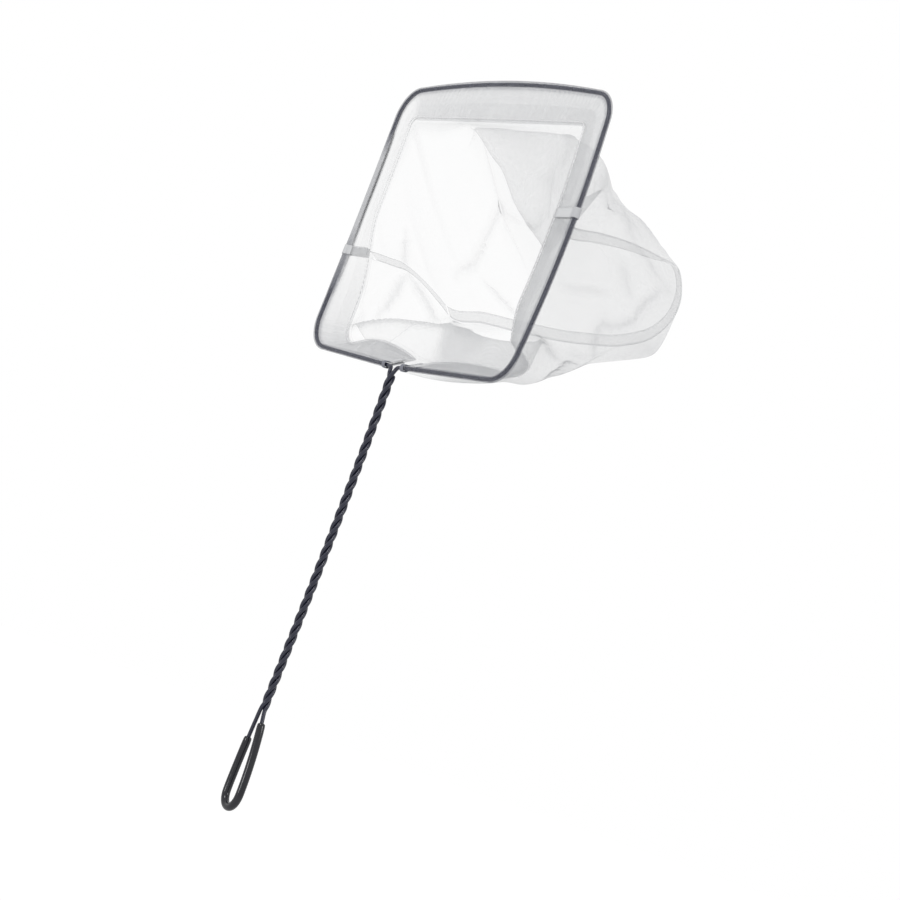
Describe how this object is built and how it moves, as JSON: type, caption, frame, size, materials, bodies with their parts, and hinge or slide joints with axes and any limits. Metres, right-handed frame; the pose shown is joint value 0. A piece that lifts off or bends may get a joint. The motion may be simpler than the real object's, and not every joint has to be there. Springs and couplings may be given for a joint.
{
  "type": "fish net",
  "caption": "Hand-held fish net: a rectangular wire hoop with a twisted wire handle and grip loop, and a sheer fabric bag sewn round the hoop.",
  "frame": {"origin": "middle of the grip loop's eye, where a hook holds the net up", "axes": "+Z along the handle from the grip loop up to the hoop, +X across the hoop, +Y from the hoop's open front to the back, where the bag hangs"},
  "size_m": [0.2638, 0.1174, 0.504],
  "materials": {
    "wire_coating": "smooth black plastic coating on steel wire",
    "sleeve": "glossy black vinyl tube",
    "hem_fabric": "doubled sheer white nylon, matte",
    "mesh_fabric": "sheer white nylon mesh, matte",
    "seam_fabric": "sewn layers of white nylon, matte",
    "thread": "white sewing thread"
  },
  "bodies": {
    "root": {"frame_wire": "wire_coating", "grip_sleeve": "sleeve", "hem_lower_left": "hem_fabric", "hem_stitching_lower_left": "thread", "hem_upper": "hem_fabric", "hem_stitching_upper": "thread", "hem_lower_right": "hem_fabric", "hem_stitching_lower_right": "thread", "left_tab": "seam_fabric", "right_tab": "seam_fabric", "root_tack_left": "seam_fabric", "root_tack_right": "seam_fabric", "bag_upper_panel": "mesh_fabric", "bag_lower_panel": "mesh_fabric", "left_seam": "seam_fabric", "bottom_seam": "seam_fabric", "right_seam": "seam_fabric"}
  },
  "joints": []
}
